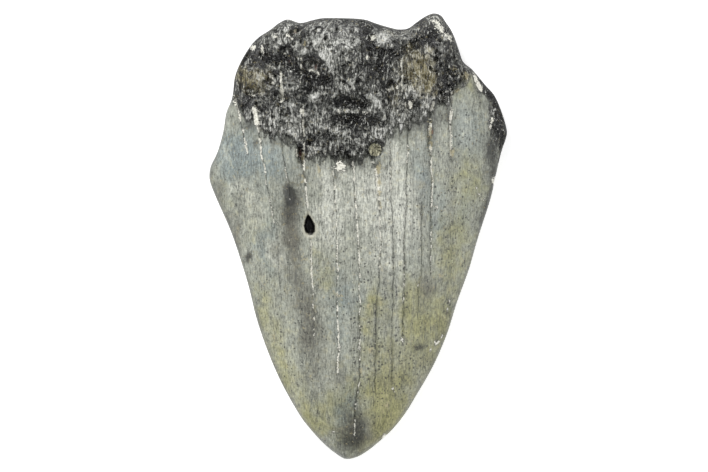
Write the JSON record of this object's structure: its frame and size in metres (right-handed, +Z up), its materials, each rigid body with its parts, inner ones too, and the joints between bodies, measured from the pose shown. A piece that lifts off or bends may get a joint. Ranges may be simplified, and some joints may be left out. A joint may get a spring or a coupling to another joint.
{
  "type": "fossil megalodon tooth",
  "caption": "Broad pointed fossil shark tooth lying flat, domed side up, with a worn, pitted, broken root, lengthwise cracks and a drop-shaped hole.",
  "frame": {"origin": "under the middle of the outline, on the surface the tooth rests on", "axes": "+Y from the tip to the root, +X to the right seen from above, +Z up out of the domed face"},
  "size_m": [0.0685, 0.1024, 0.019],
  "materials": {
    "fossil_tooth": "satin"
  },
  "bodies": {
    "root": {"tooth": "fossil_tooth"}
  },
  "joints": []
}
